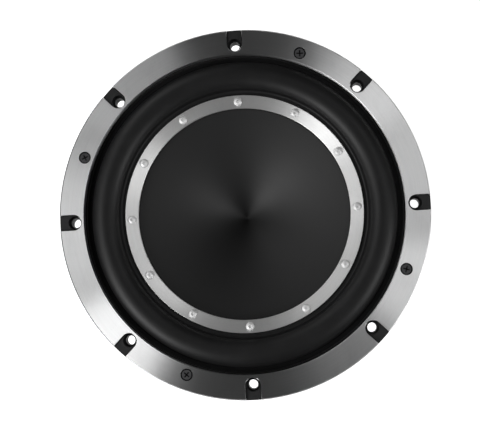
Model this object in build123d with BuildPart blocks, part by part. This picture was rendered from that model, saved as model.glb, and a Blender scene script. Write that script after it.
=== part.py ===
"""A 12 inch car subwoofer lying on its magnet, front up. Millimetres, +Z towards the front.

The origin is the centre of the magnet boot's underside, and Z is the axis of the whole speaker.
"""
from build123d import *
import math
import os

# Front flange, trim ring and their fixings
RIM_R = 158.0
TRIM_INNER_R = 137.1
TRIM_T = 8.0
RIM_BEVEL = 0.9
FLANGE_R = 158.0
FLANGE_TOP_Z = 160.0
FLANGE_T = 10.0
SHELF_DROP = 2.0
SHELF_OUTER_R = 138.8
BOLT_CIRCLE_R = 145.0
BOLT_COUNT = 8
BOLT_HOLE_R = 4.0
BOLT_SINK_R = 5.9
BOLT_SINK_DEPTH = 5.0
SLOT_W = 13.3
SLOT_END_R = 139.2
PAD_DROP = 2.0
PAD_GAP = 0.3
TRIM_SCREW_COUNT = 4
TRIM_SCREW_START = 67.5
TRIM_SCREW_HEAD_R = 4.4
TRIM_SCREW_HEAD_H = 3.0
TRIM_SCREW_SINK_R = 5.2
TRIM_SCREW_SINK = 3.5
TRIM_SCREW_SHANK_R = 2.4
TRIM_SCREW_LENGTH = 16.0

# Spigot that drops into the baffle's cut-out, and the gasket round it
SPIGOT_R = 138.5
SPIGOT_INNER_R = 131.5
SPIGOT_BOTTOM_Z = 134.0
SPIGOT_RELIEF = (0.8, 3.0)
GASKET_T = 2.4
GASKET_INNER_R = 139.4

# Surround: a half roll between two flat lips, with a raised bead along the outer lip
ROLL_R = 11.1
ROLL_CENTRE_R = 118.7
SURROUND_T = 1.8
SURROUND_INNER_R = 92.5
SURROUND_OUTER_R = 138.6
BEAD_R = (134.6, 136.8)
BEAD_H = 1.3

# Cone, and the ring and screws that clamp the surround to it
CONE_RIM_R = 103.0
CONE_EDGE_R = 90.5
CONE_SLOPES = (0.95, 0.387, 0.36)
CONE_T = 2.5
CONE_RING_INNER_R = 90.8
CONE_RING_OUTER_R = 101.9
CONE_RING_T = 3.0
CONE_RING_DISH = 0.7
CONE_SCREW_CIRCLE_R = 96.3
CONE_SCREW_COUNT = 12
CONE_SCREW_HEAD_R = 3.6
CONE_SCREW_HEAD_H = 2.2
CONE_SCREW_SHANK_R = 1.9

# Voice coil, in the gap between the pole and the top plate
FORMER_R = 38.0
FORMER_T = 0.4
FORMER_BOTTOM_Z = 43.0
WINDING_T = 2.0
WINDING_Z = (44.0, 82.0)
COLLAR_T = 0.6
COLLAR_Z = (84.0, 126.0)

# Motor
MAGNET_R = 88.0
MAGNET_BORE_R = 45.0
MAGNET_T = 20.0
BOOT_T = 3.0
BACK_PLATE_R = 84.0
BACK_PLATE_T = 14.0
TOP_PLATE_R = 80.0
TOP_PLATE_BORE_R = 41.4
TOP_PLATE_T = 12.0
POLE_R = 37.2
POLE_NECK_R = 33.5
POLE_NECK_TOP_Z = 50.0
POLE_TOP_Z = 75.5
VENT_R = 16.0
SCREEN_R = 24.0
SCREEN_T = 1.2

# Basket cup, ledges and spokes
CUP_R = 89.0
CUP_WALL_R = 85.0
CUP_BORE_R = 50.0
CUP_FLOOR_T = 7.0
SPIDER_LEDGE_Z = 92.0
SPIDER_LEDGE_INNER_R = 76.0
CUP_TOP_Z = 102.0
SPOKE_COUNT = 8
SPOKE_START = 22.5
SPOKE_W = 19.0
SPOKE_RIB_W = 6.0
BASKET_BOLT_CIRCLE_R = 68.0

# Spiders
SPIDER_T = 0.9
SPIDER_WAVE = 2.4
SPIDER_WAVES = 5
SPIDER_OUTER_R = 84.6
SPACER_T = 10.0

# Spring terminal on the basket's side, at -Y
TERMINAL_FACE_Y = -97.0
TERMINAL_DEPTH = 16.0
TERMINAL_W = 46.0
TERMINAL_Z = (74.0, 96.0)
BUTTON_X = 8.0
BUTTON_R = 4.4
BUTTON_WELL_R = 4.8
BUTTON_TRAVEL = 4.0
TERMINAL_SCREW_X = 18.5
TAB_W = 5.0
TAB_T = 0.8
LEAD_R = 1.1

# Heights that follow from the ones above
FLANGE_BOTTOM_Z = FLANGE_TOP_Z - FLANGE_T
TRIM_TOP_Z = FLANGE_TOP_Z + TRIM_T
PAD_TOP_Z = TRIM_TOP_Z - PAD_DROP
SHELF_Z = FLANGE_TOP_Z - SHELF_DROP
CONE_RING_TOP_Z = FLANGE_TOP_Z + CONE_RING_T
CONE_SCREW_SEAT_Z = CONE_RING_TOP_Z - CONE_RING_DISH
CONE_FLOOR_Z = SHELF_Z - CONE_T
CONE_APEX_Z = SHELF_Z - sum(CONE_SLOPES) * CONE_EDGE_R / 3
BACKING_RING_BOTTOM_Z = CONE_FLOOR_Z - CONE_RING_T
BACK_PLATE_TOP_Z = BOOT_T + BACK_PLATE_T
MAGNET_MIDDLE_Z = BACK_PLATE_TOP_Z + MAGNET_T
MAGNET_TOP_Z = MAGNET_MIDDLE_Z + MAGNET_T
CUP_BOTTOM_Z = MAGNET_TOP_Z + TOP_PLATE_T
CUP_FLOOR_Z = CUP_BOTTOM_Z + CUP_FLOOR_T
FORMER_OUTER_R = FORMER_R + FORMER_T
COLLAR_R = FORMER_OUTER_R + COLLAR_T
BUTTON_Y = TERMINAL_FACE_Y - TERMINAL_DEPTH / 2
BUTTON_FLOOR_Z = TERMINAL_Z[0] + 3.5
SPRING_H = 8.0
BUTTON_BOTTOM_Z = BUTTON_FLOOR_Z + TAB_T + SPRING_H

os.makedirs("parts", exist_ok=True)


def save(piece, label):
    """Names one finished piece and writes it out."""
    piece.part.label = label
    export_step(piece.part, f"parts/{label}.step")


def ring_sketch(inner_r, outer_r):
    """A flat ring, drawn in the sketch that is open."""
    Circle(outer_r)
    Circle(inner_r, mode=Mode.SUBTRACT)


def outline(points):
    """A straight-sided face from (radius, height) points, in the sketch that is open."""
    Polygon(*points, align=None)


def cone_curve(apex_z):
    """Control points of the cone's side, from its centre outwards, a third of its radius apart."""
    step = CONE_EDGE_R / 3
    return [(count * step, apex_z + sum(CONE_SLOPES[:count]) * step) for count in range(4)]


def cone_front_z(radius):
    """Height of the cone's front at a radius."""
    share = radius / CONE_EDGE_R
    weights = [math.comb(3, k) * share**k * (1 - share) ** (3 - k) for k in range(4)]
    return sum(weight * z for weight, (r, z) in zip(weights, cone_curve(CONE_APEX_Z)))


def radial_plane(angle):
    """The upright plane through the speaker's axis at an angle, with its X pointing outwards."""
    turn = math.radians(angle)
    outwards = (math.cos(turn), math.sin(turn), 0)
    return Plane(origin=(0, 0, 0), x_dir=outwards, z_dir=(math.sin(turn), -math.cos(turn), 0))


def drill(radius, circle_r, count, start, z=0.0, depth=None):
    """A circle of plain holes in the part that is open."""
    with Locations((0, 0, z)):
        with PolarLocations(circle_r, count, start_angle=start):
            Hole(radius, depth)


def slot_shapes(half_width, mode):
    """Eight slots with round inner ends, open outwards, in the sketch that is open."""
    centre_r = SLOT_END_R + SLOT_W / 2
    for index in range(BOLT_COUNT):
        angle = index * 360 / BOLT_COUNT
        with PolarLocations(centre_r, 1, start_angle=angle):
            Circle(half_width, mode=mode)
        with PolarLocations(centre_r + SLOT_W, 1, start_angle=angle):
            Rectangle(2 * SLOT_W, 2 * half_width, mode=mode)


def basket():
    """Cast basket: flange with a pad per bolt, spigot, cup for the spiders, and eight ribbed spokes."""
    flange = [
        (SPIGOT_INNER_R, SPIGOT_BOTTOM_Z),
        (SPIGOT_R - 1.0, SPIGOT_BOTTOM_Z),
        (SPIGOT_R, SPIGOT_BOTTOM_Z + 1.0),
        (SPIGOT_R, FLANGE_BOTTOM_Z - SPIGOT_RELIEF[1]),
        (SPIGOT_R - SPIGOT_RELIEF[0], FLANGE_BOTTOM_Z - SPIGOT_RELIEF[1]),
        (SPIGOT_R - SPIGOT_RELIEF[0], FLANGE_BOTTOM_Z),
        (FLANGE_R, FLANGE_BOTTOM_Z),
        (FLANGE_R, FLANGE_TOP_Z),
        (SHELF_OUTER_R, FLANGE_TOP_Z),
        (SHELF_OUTER_R, SHELF_Z),
        (SPIGOT_INNER_R, SHELF_Z),
    ]
    cup = [
        (CUP_BORE_R, CUP_BOTTOM_Z),
        (CUP_R, CUP_BOTTOM_Z),
        (CUP_R, CUP_TOP_Z),
        (CUP_WALL_R, CUP_TOP_Z),
        (CUP_WALL_R, SPIDER_LEDGE_Z),
        (SPIDER_LEDGE_INNER_R, SPIDER_LEDGE_Z),
        (SPIDER_LEDGE_INNER_R, SPIDER_LEDGE_Z - 3.0),
        (CUP_WALL_R - 4.0, SPIDER_LEDGE_Z - 7.0),
        (CUP_WALL_R - 4.0, CUP_FLOOR_Z),
        (CUP_BORE_R, CUP_FLOOR_Z),
    ]
    band = [(86.0, 92.0), (86.0, 99.0), (131.8, 146.0), (136.0, 146.0), (136.0, 138.0)]
    rib = [(88.0, 76.0), (88.0, 95.0), (134.0, 142.0), (137.5, 142.0), (137.5, 134.0)]
    with BuildPart() as piece:
        with BuildSketch(Plane.XZ):
            outline(flange)
            outline(cup)
        revolve(axis=Axis.Z)
        for index in range(SPOKE_COUNT):
            angle = SPOKE_START + index * 360 / SPOKE_COUNT
            with BuildSketch(radial_plane(angle)):
                outline(band)
            extrude(amount=SPOKE_W / 2, both=True)
            with BuildSketch(radial_plane(angle)):
                outline(rib)
            extrude(amount=SPOKE_RIB_W / 2, both=True)
        # Pad that carries the terminal block
        with BuildSketch(Plane.XY.offset(TERMINAL_Z[0])):
            with Locations((0, (TERMINAL_FACE_Y - CUP_WALL_R) / 2)):
                Rectangle(TERMINAL_W - 2, -TERMINAL_FACE_Y - CUP_WALL_R)
        extrude(amount=TERMINAL_Z[1] - TERMINAL_Z[0] - 4)
        # Air slots through the cup's wall, under the spider ledge, all but the one behind the pad
        for index in range(SPOKE_COUNT):
            angle = index * 360 / SPOKE_COUNT
            if angle != 270:
                with BuildSketch(radial_plane(angle + 90)):
                    with Locations((0, (CUP_FLOOR_Z + SPIDER_LEDGE_Z - 7) / 2)):
                        SlotOverall(26, 7)
                extrude(amount=CUP_R + 2, mode=Mode.SUBTRACT)
        # Pads that stand in the trim ring's slots
        with BuildSketch(Plane.XY.offset(FLANGE_TOP_Z)):
            slot_shapes(SLOT_W / 2 - PAD_GAP, Mode.ADD)
            Circle(FLANGE_R, mode=Mode.INTERSECT)
        extrude(amount=PAD_TOP_Z - FLANGE_TOP_Z)
        # Mounting holes, sunk for a bolt's head, tapped holes for the trim ring, and the motor's bolts
        with Locations((0, 0, PAD_TOP_Z)):
            with PolarLocations(BOLT_CIRCLE_R, BOLT_COUNT):
                CounterBoreHole(BOLT_HOLE_R, BOLT_SINK_R, BOLT_SINK_DEPTH, PAD_TOP_Z - FLANGE_BOTTOM_Z)
        drill(2.5, BOLT_CIRCLE_R, TRIM_SCREW_COUNT, TRIM_SCREW_START, FLANGE_TOP_Z, FLANGE_T)
        drill(2.7, BASKET_BOLT_CIRCLE_R, BOLT_COUNT, SPOKE_START, CUP_FLOOR_Z, CUP_FLOOR_T)
        # Pilot holes for the terminal's screws
        with Locations(Plane.XZ.offset(-TERMINAL_FACE_Y)):
            with Locations(
                (-TERMINAL_SCREW_X, sum(TERMINAL_Z) / 2 - 2), (TERMINAL_SCREW_X, sum(TERMINAL_Z) / 2 - 2)
            ):
                Hole(1.25, 8.0)
    save(piece, "basket")


def trim_ring():
    """Bright ring over the flange, open at each mounting hole by a slot with a round end."""
    with BuildPart() as piece:
        with BuildSketch(Plane.XY.offset(FLANGE_TOP_Z)):
            ring_sketch(TRIM_INNER_R, RIM_R)
            slot_shapes(SLOT_W / 2, Mode.SUBTRACT)
        extrude(amount=TRIM_T)
        # A wide bevel round the rim, and the other top edges just broken
        arcs = piece.faces().sort_by(Axis.Z)[-1].edges().filter_by(GeomType.CIRCLE)
        chamfer(arcs.filter_by(lambda edge: edge.radius > RIM_R - 0.1), length=RIM_BEVEL)
        top_edges = piece.faces().sort_by(Axis.Z)[-1].edges()
        bevel_r = RIM_R - RIM_BEVEL
        chamfer(top_edges.filter_by(lambda edge: edge.center().Z > TRIM_TOP_Z - 0.01
                and not (edge.geom_type == GeomType.CIRCLE and edge.radius > bevel_r - 0.1)), length=0.2)
        with Locations((0, 0, TRIM_TOP_Z)):
            with PolarLocations(BOLT_CIRCLE_R, TRIM_SCREW_COUNT, start_angle=TRIM_SCREW_START):
                CounterBoreHole(TRIM_SCREW_SHANK_R + 0.3, TRIM_SCREW_SINK_R, TRIM_SCREW_SINK)
    save(piece, "trim_ring")


def trim_ring_screws():
    """Four cheese-head cross-recess screws, sunk in the ring."""
    seat_z = TRIM_TOP_Z - TRIM_SCREW_SINK
    top_z = seat_z + TRIM_SCREW_HEAD_H
    screw = [
        (0, top_z),
        (TRIM_SCREW_HEAD_R - 0.5, top_z),
        (TRIM_SCREW_HEAD_R, top_z - 0.5),
        (TRIM_SCREW_HEAD_R, seat_z),
        (TRIM_SCREW_SHANK_R, seat_z),
        (TRIM_SCREW_SHANK_R, top_z - TRIM_SCREW_LENGTH),
        (0, top_z - TRIM_SCREW_LENGTH),
    ]
    with BuildPart() as piece:
        for index in range(TRIM_SCREW_COUNT):
            angle = TRIM_SCREW_START + index * 360 / TRIM_SCREW_COUNT
            centre = Vector(BOLT_CIRCLE_R, 0, 0).rotate(Axis.Z, angle)
            turned = angle + 20 + 25 * index
            with BuildSketch(Plane(origin=centre, x_dir=(1, 0, 0), z_dir=(0, -1, 0))):
                outline(screw)
            revolve(axis=Axis(centre, (0, 0, 1)))
            with BuildSketch(Plane(centre + Vector(0, 0, top_z)).rotated((0, 0, turned))):
                Rectangle(5.6, 1.1)
                Rectangle(1.1, 5.6)
            extrude(amount=-2.0, mode=Mode.SUBTRACT)
    save(piece, "trim_ring_screws")


def mounting_gasket():
    """Foam gasket under the flange."""
    with BuildPart() as piece:
        with BuildSketch(Plane.XY.offset(FLANGE_BOTTOM_Z - GASKET_T)):
            ring_sketch(GASKET_INNER_R, FLANGE_R - 0.5)
        extrude(amount=GASKET_T)
        drill(BOLT_HOLE_R + 0.3, BOLT_CIRCLE_R, BOLT_COUNT, 0)
    save(piece, "mounting_gasket")


def surround():
    """Rubber half roll with a flat lip each side, the outer one beaded."""
    crest = ROLL_R + SURROUND_T / 2
    hollow = ROLL_R - SURROUND_T / 2
    with BuildPart() as piece:
        with BuildSketch(Plane.XZ):
            with BuildLine():
                Polyline(
                    (ROLL_CENTRE_R - hollow, SHELF_Z),
                    (SURROUND_INNER_R, SHELF_Z),
                    (SURROUND_INNER_R, FLANGE_TOP_Z),
                    (ROLL_CENTRE_R - crest, FLANGE_TOP_Z),
                )
                ThreePointArc(
                    (ROLL_CENTRE_R - crest, FLANGE_TOP_Z),
                    (ROLL_CENTRE_R, FLANGE_TOP_Z + crest),
                    (ROLL_CENTRE_R + crest, FLANGE_TOP_Z),
                )
                Polyline(
                    (ROLL_CENTRE_R + crest, FLANGE_TOP_Z),
                    (BEAD_R[0], FLANGE_TOP_Z),
                    (BEAD_R[0] + 0.4, FLANGE_TOP_Z + BEAD_H),
                    (BEAD_R[1] - 0.4, FLANGE_TOP_Z + BEAD_H),
                    (BEAD_R[1], FLANGE_TOP_Z),
                    (SURROUND_OUTER_R, FLANGE_TOP_Z),
                    (SURROUND_OUTER_R, SHELF_Z),
                    (ROLL_CENTRE_R + hollow, SHELF_Z),
                )
                ThreePointArc(
                    (ROLL_CENTRE_R + hollow, SHELF_Z),
                    (ROLL_CENTRE_R, FLANGE_TOP_Z + hollow),
                    (ROLL_CENTRE_R - hollow, SHELF_Z),
                )
            make_face()
        revolve(axis=Axis.Z)
        drill(CONE_SCREW_SHANK_R + 0.4, CONE_SCREW_CIRCLE_R, CONE_SCREW_COUNT, 0)
    save(piece, "surround")


def cone():
    """One-piece cone with a slightly flared side, a pointed centre and a flat rim."""
    with BuildPart() as piece:
        with BuildSketch(Plane.XZ):
            with BuildLine():
                Polyline((CONE_EDGE_R, SHELF_Z), (CONE_RIM_R, SHELF_Z), (CONE_RIM_R, CONE_FLOOR_Z))
                Line((CONE_RIM_R, CONE_FLOOR_Z), (CONE_EDGE_R, CONE_FLOOR_Z))
                Bezier(*reversed(cone_curve(CONE_APEX_Z - CONE_T)))
                Line((0, CONE_APEX_Z - CONE_T), (0, CONE_APEX_Z))
                Bezier(*cone_curve(CONE_APEX_Z))
            make_face()
        revolve(axis=Axis.Z)
        drill(CONE_SCREW_SHANK_R + 0.2, CONE_SCREW_CIRCLE_R, CONE_SCREW_COUNT, 0)
    save(piece, "cone")


def cone_ring():
    """Bright ring that clamps the surround, dished towards the cone, with a flat seat per screw."""
    profile = [
        (CONE_RING_INNER_R, FLANGE_TOP_Z),
        (CONE_RING_OUTER_R, FLANGE_TOP_Z),
        (CONE_RING_OUTER_R, CONE_RING_TOP_Z - 0.3),
        (CONE_RING_OUTER_R - 0.3, CONE_RING_TOP_Z),
        (CONE_RING_INNER_R + 0.3, CONE_RING_TOP_Z - CONE_RING_DISH),
        (CONE_RING_INNER_R, CONE_RING_TOP_Z - CONE_RING_DISH - 0.3),
    ]
    with BuildPart() as piece:
        with BuildSketch(Plane.XZ):
            outline(profile)
        revolve(axis=Axis.Z)
        with Locations((0, 0, CONE_RING_TOP_Z)):
            with PolarLocations(CONE_SCREW_CIRCLE_R, CONE_SCREW_COUNT):
                CounterBoreHole(CONE_SCREW_SHANK_R + 0.2, CONE_SCREW_HEAD_R + 0.3, CONE_RING_DISH)
    save(piece, "cone_ring")


def cone_ring_screws():
    """Twelve button-head screws with a hexagon socket."""
    with BuildPart() as piece:
        for index in range(CONE_SCREW_COUNT):
            angle = index * 360 / CONE_SCREW_COUNT
            centre = Vector(CONE_SCREW_CIRCLE_R, 0, 0).rotate(Axis.Z, angle)
            with BuildSketch(Plane(origin=centre, x_dir=(1, 0, 0), z_dir=(0, -1, 0))):
                with BuildLine():
                    Polyline(
                        (1.6, CONE_SCREW_SEAT_Z + CONE_SCREW_HEAD_H),
                        (0, CONE_SCREW_SEAT_Z + CONE_SCREW_HEAD_H),
                        (0, BACKING_RING_BOTTOM_Z),
                        (CONE_SCREW_SHANK_R, BACKING_RING_BOTTOM_Z),
                        (CONE_SCREW_SHANK_R, CONE_SCREW_SEAT_Z),
                        (CONE_SCREW_HEAD_R, CONE_SCREW_SEAT_Z),
                    )
                    ThreePointArc(
                        (CONE_SCREW_HEAD_R, CONE_SCREW_SEAT_Z),
                        (2.95, CONE_SCREW_SEAT_Z + CONE_SCREW_HEAD_H * 0.64),
                        (1.6, CONE_SCREW_SEAT_Z + CONE_SCREW_HEAD_H),
                    )
                make_face()
            revolve(axis=Axis(centre, (0, 0, 1)))
            socket_plane = Plane(centre + Vector(0, 0, CONE_SCREW_SEAT_Z + CONE_SCREW_HEAD_H))
            with BuildSketch(socket_plane.rotated((0, 0, 17 * index))):
                RegularPolygon(1.45, 6)
            extrude(amount=-1.5, mode=Mode.SUBTRACT)
    save(piece, "cone_ring_screws")


def clamp_backing_ring():
    """Tapped ring under the cone's rim."""
    with BuildPart() as piece:
        with BuildSketch(Plane.XY.offset(BACKING_RING_BOTTOM_Z)):
            ring_sketch(CONE_RING_INNER_R, CONE_RING_OUTER_R)
        extrude(amount=CONE_RING_T)
        drill(CONE_SCREW_SHANK_R, CONE_SCREW_CIRCLE_R, CONE_SCREW_COUNT, 0)
    save(piece, "clamp_backing_ring")


def tube(label, inner_r, outer_r, bottom_z, top_z):
    """A plain ring or tube about the speaker's axis."""
    with BuildPart() as piece:
        with BuildSketch(Plane.XY.offset(bottom_z)):
            ring_sketch(inner_r, outer_r)
        extrude(amount=top_z - bottom_z)
    save(piece, label)


def spider(label, lip_z, phase):
    """Corrugated cloth disc with a flat outer lip."""
    inner_r = COLLAR_R + 0.4
    span = SPIDER_LEDGE_INNER_R - inner_r
    steps = SPIDER_WAVES * 4
    wave = [
        (inner_r + span * step / steps, lip_z + phase * SPIDER_WAVE * math.sin(step * math.pi / 2))
        for step in range(steps + 1)
    ]
    lifted = [(r, z + SPIDER_T) for r, z in wave]
    with BuildPart() as piece:
        with BuildSketch(Plane.XZ):
            with BuildLine():
                Spline(*wave)
                Polyline(wave[-1], (SPIDER_OUTER_R, lip_z), (SPIDER_OUTER_R, lip_z + SPIDER_T), lifted[-1])
                Spline(*reversed(lifted))
                Line(lifted[0], wave[0])
            make_face()
        revolve(axis=Axis.Z)
    save(piece, label)


def magnet(label, bottom_z):
    """Ferrite ring with broken edges."""
    with BuildPart() as piece:
        with BuildSketch(Plane.XY.offset(bottom_z)):
            ring_sketch(MAGNET_BORE_R, MAGNET_R)
        extrude(amount=MAGNET_T)
        chamfer(piece.edges().filter_by(GeomType.CIRCLE), length=0.8)
    save(piece, label)


def back_plate():
    """Back plate and undercut pole in one, with a flared vent bore."""
    profile = [
        (SCREEN_R, BOOT_T),
        (BACK_PLATE_R - 3, BOOT_T),
        (BACK_PLATE_R, BOOT_T + 3),
        (BACK_PLATE_R, BACK_PLATE_TOP_Z),
        (POLE_NECK_R, BACK_PLATE_TOP_Z),
        (POLE_NECK_R, POLE_NECK_TOP_Z),
        (POLE_R, POLE_NECK_TOP_Z),
        (POLE_R, POLE_TOP_Z - 1.5),
        (POLE_R - 1.5, POLE_TOP_Z),
        (VENT_R + 4, POLE_TOP_Z),
        (VENT_R, POLE_TOP_Z - 6),
        (VENT_R, BOOT_T + 8),
        (VENT_R + 5, BOOT_T + SCREEN_T),
        (SCREEN_R, BOOT_T + SCREEN_T),
    ]
    with BuildPart() as piece:
        with BuildSketch(Plane.XZ):
            outline(profile)
        revolve(axis=Axis.Z)
    save(piece, "back_plate")


def top_plate():
    """Front pole plate, with tapped holes for the basket's bolts."""
    with BuildPart() as piece:
        with BuildSketch(Plane.XY.offset(MAGNET_TOP_Z)):
            ring_sketch(TOP_PLATE_BORE_R, TOP_PLATE_R)
        extrude(amount=TOP_PLATE_T)
        chamfer(piece.edges().filter_by(GeomType.CIRCLE).sort_by(SortBy.RADIUS)[-2:], length=1.2)
        drill(2.3, BASKET_BOLT_CIRCLE_R, BOLT_COUNT, SPOKE_START, CUP_BOTTOM_Z, 10)
    save(piece, "top_plate")


def basket_bolts():
    """Eight socket cap screws that hold the basket to the top plate."""
    with BuildPart() as piece:
        with BuildSketch(Plane.XY.offset(CUP_FLOOR_Z)):
            with PolarLocations(BASKET_BOLT_CIRCLE_R, BOLT_COUNT, start_angle=SPOKE_START):
                Circle(4.25)
        extrude(amount=5)
        chamfer(piece.faces().sort_by(Axis.Z)[-BOLT_COUNT:].edges(), length=0.4)
        with BuildSketch(Plane.XY.offset(CUP_FLOOR_Z)):
            with PolarLocations(BASKET_BOLT_CIRCLE_R, BOLT_COUNT, start_angle=SPOKE_START):
                Circle(2.25)
        extrude(amount=-16)
        with BuildSketch(Plane.XY.offset(CUP_FLOOR_Z + 5)):
            with PolarLocations(BASKET_BOLT_CIRCLE_R, BOLT_COUNT, start_angle=SPOKE_START):
                RegularPolygon(2.3, 6)
        extrude(amount=-2.6, mode=Mode.SUBTRACT)
    save(piece, "basket_bolts")


def vent_screen():
    """Round screen over the vent bore, drilled in four rings of holes."""
    with BuildPart() as piece:
        with BuildSketch(Plane.XY.offset(BOOT_T)):
            Circle(SCREEN_R - 0.2)
            for ring in range(5):
                with PolarLocations(ring * 4.0, max(1, 6 * ring)):
                    Circle(1.35, mode=Mode.SUBTRACT)
        extrude(amount=SCREEN_T - 0.1)
    save(piece, "vent_screen")


def magnet_boot():
    """Rubber boot round the motor, turned in over both ends, with three grooves round its side."""
    outer_r = MAGNET_R + BOOT_T + 1.0
    inner_r = MAGNET_R + 0.2
    profile = [
        (66.0, 0.0),
        (outer_r - 4, 0.0),
        (outer_r, 4.0),
        (outer_r, MAGNET_TOP_Z),
        (outer_r - 3, MAGNET_TOP_Z + BOOT_T),
        (TOP_PLATE_R + 1.5, MAGNET_TOP_Z + BOOT_T),
        (TOP_PLATE_R + 1.5, MAGNET_TOP_Z + 0.2),
        (inner_r, MAGNET_TOP_Z + 0.2),
        (inner_r, BOOT_T),
        (66.0, BOOT_T),
    ]
    with BuildPart() as piece:
        with BuildSketch(Plane.XZ):
            outline(profile)
            with Locations(*[(outer_r, z) for z in (22.0, 30.0, 38.0)]):
                Rectangle(2.4, 2.6, mode=Mode.SUBTRACT)
        revolve(axis=Axis.Z)
    save(piece, "magnet_boot")


def contact_strip(x, tab_top_z, mode):
    """Bent strip in the open part: floor of the button's well, and a solder tab up the back."""
    floor_l = TERMINAL_FACE_Y - BUTTON_Y + 4
    with Locations((x, TERMINAL_FACE_Y - floor_l / 2, BUTTON_FLOOR_Z + TAB_T / 2)):
        Box(TAB_W, floor_l, TAB_T, mode=mode)
    with Locations((x, TERMINAL_FACE_Y - TAB_T / 2, (BUTTON_FLOOR_Z + tab_top_z) / 2)):
        Box(TAB_W, TAB_T, tab_top_z - BUTTON_FLOOR_Z, mode=mode)


def terminal_contacts():
    """The two brass contact strips."""
    with BuildPart() as piece:
        for x in (-BUTTON_X, BUTTON_X):
            contact_strip(x, TERMINAL_Z[1] + 8, Mode.ADD)
    save(piece, "terminal_contacts")


def terminal_block():
    """Moulded block: two button wells from above, two wire holes in front, slots for the strips."""
    middle_z = sum(TERMINAL_Z) / 2 - 2
    with BuildPart() as piece:
        with BuildSketch(Plane.XY.offset(TERMINAL_Z[0])):
            with Locations((0, BUTTON_Y)):
                Rectangle(TERMINAL_W, TERMINAL_DEPTH)
        extrude(amount=TERMINAL_Z[1] - TERMINAL_Z[0])
        front = piece.faces().sort_by(Axis.Y)[0]
        fillet(front.edges(), radius=1.5)
        for x in (-BUTTON_X, BUTTON_X):
            with Locations((x, BUTTON_Y, TERMINAL_Z[1])):
                Hole(BUTTON_WELL_R, TERMINAL_Z[1] - BUTTON_FLOOR_Z - TAB_T)
            contact_strip(x, TERMINAL_Z[1], Mode.SUBTRACT)
        with Locations(Plane.XZ.offset(TERMINAL_DEPTH - TERMINAL_FACE_Y)):
            with Locations((-BUTTON_X, middle_z), (BUTTON_X, middle_z)):
                Hole(1.8, TERMINAL_DEPTH / 2)
            with Locations((-TERMINAL_SCREW_X, middle_z), (TERMINAL_SCREW_X, middle_z)):
                CounterBoreHole(1.6, 3.2, 5.0)
    save(piece, "terminal_block")


def terminal_screws():
    """Two pan-head screws that hold the block to its pad."""
    middle_z = sum(TERMINAL_Z) / 2 - 2
    seat_y = TERMINAL_FACE_Y - TERMINAL_DEPTH + 5
    with BuildPart() as piece:
        for x in (-TERMINAL_SCREW_X, TERMINAL_SCREW_X):
            with BuildSketch(Plane(origin=(x, seat_y, middle_z), x_dir=(1, 0, 0), z_dir=(0, -1, 0))):
                Circle(2.8)
            extrude(amount=2.0)
            with BuildSketch(Plane(origin=(x, seat_y, middle_z), x_dir=(1, 0, 0), z_dir=(0, -1, 0))):
                Circle(1.2)
            extrude(amount=-18)
            with BuildSketch(Plane(origin=(x, seat_y - 2, middle_z), x_dir=(1, 0, 0), z_dir=(0, -1, 0))):
                Rectangle(3.6, 0.8)
                Rectangle(0.8, 3.6)
            extrude(amount=-1.2, mode=Mode.SUBTRACT)
    save(piece, "terminal_screws")


def push_button(label, x):
    """Round plunger with a wider cap, drilled across for the bare wire."""
    cap_z = TERMINAL_Z[1] + BUTTON_TRAVEL + 0.6
    with BuildPart() as piece:
        with BuildSketch(Plane.XY.offset(BUTTON_BOTTOM_Z)):
            with Locations((x, BUTTON_Y)):
                Circle(BUTTON_R)
        extrude(amount=cap_z - BUTTON_BOTTOM_Z)
        with BuildSketch(Plane.XY.offset(cap_z)):
            with Locations((x, BUTTON_Y)):
                Circle(BUTTON_R + 1.1)
        extrude(amount=3.4)
        fillet(piece.faces().sort_by(Axis.Z)[-1].edges(), radius=0.9)
        with Locations(Plane(origin=(x, BUTTON_Y - 6, BUTTON_BOTTOM_Z + 3.5), z_dir=(0, -1, 0))):
            Hole(1.3)
    save(piece, label)


def button_spring(label, x):
    """Coil spring under a button."""
    wire_r = 0.35
    bottom_z = BUTTON_FLOOR_Z + TAB_T + wire_r + 0.1
    height = SPRING_H - 2 * wire_r - 0.2
    with BuildPart() as piece:
        with BuildLine():
            coil = Helix(height / 5, height, 3.3, center=(x, BUTTON_Y, bottom_z))
        with BuildSketch(Plane(origin=coil @ 0, z_dir=coil % 0)):
            Circle(wire_r)
        sweep(path=coil, is_frenet=True)
    save(piece, label)


def tinsel_lead(label, x):
    """Flexible lead from the solder tab, in an arch under the cone, to the voice coil's collar."""
    end_y = -math.sqrt((COLLAR_R + 0.3) ** 2 - x**2)
    route = [
        (x, TERMINAL_FACE_Y + LEAD_R, 98.5),
        (x, TERMINAL_FACE_Y + LEAD_R, 108.0),
        (x, -86.0, 116.0),
        (x, -74.0, 121.0),
        (x, -61.0, 121.5),
        (x, -50.0, 117.5),
        (x, end_y - LEAD_R, 113.0),
        (x, end_y - LEAD_R, 108.0),
    ]
    runs = [math.dist(a, b) for a, b in zip(route, route[1:])]
    headings = [Vector(*b) - Vector(*a) for a, b in zip(route, route[1:])]
    radii = []
    for before, after, run, next_run in zip(headings, headings[1:], runs, runs[1:]):
        turn = math.radians(before.get_angle(after))
        radii.append(0.45 * min(run, next_run) / math.tan(turn / 2))
    with BuildPart() as piece:
        with BuildLine():
            path = FilletPolyline(*route, radius=radii)
        with BuildSketch(Plane(origin=path @ 0, z_dir=path % 0)):
            Circle(LEAD_R)
        sweep(path=path)
    ratio = piece.part.volume / (math.pi * LEAD_R**2 * path.length)
    print(label, "radii", [round(r, 1) for r in radii], "length", round(path.length, 1), round(ratio, 4))
    save(piece, label)


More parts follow.
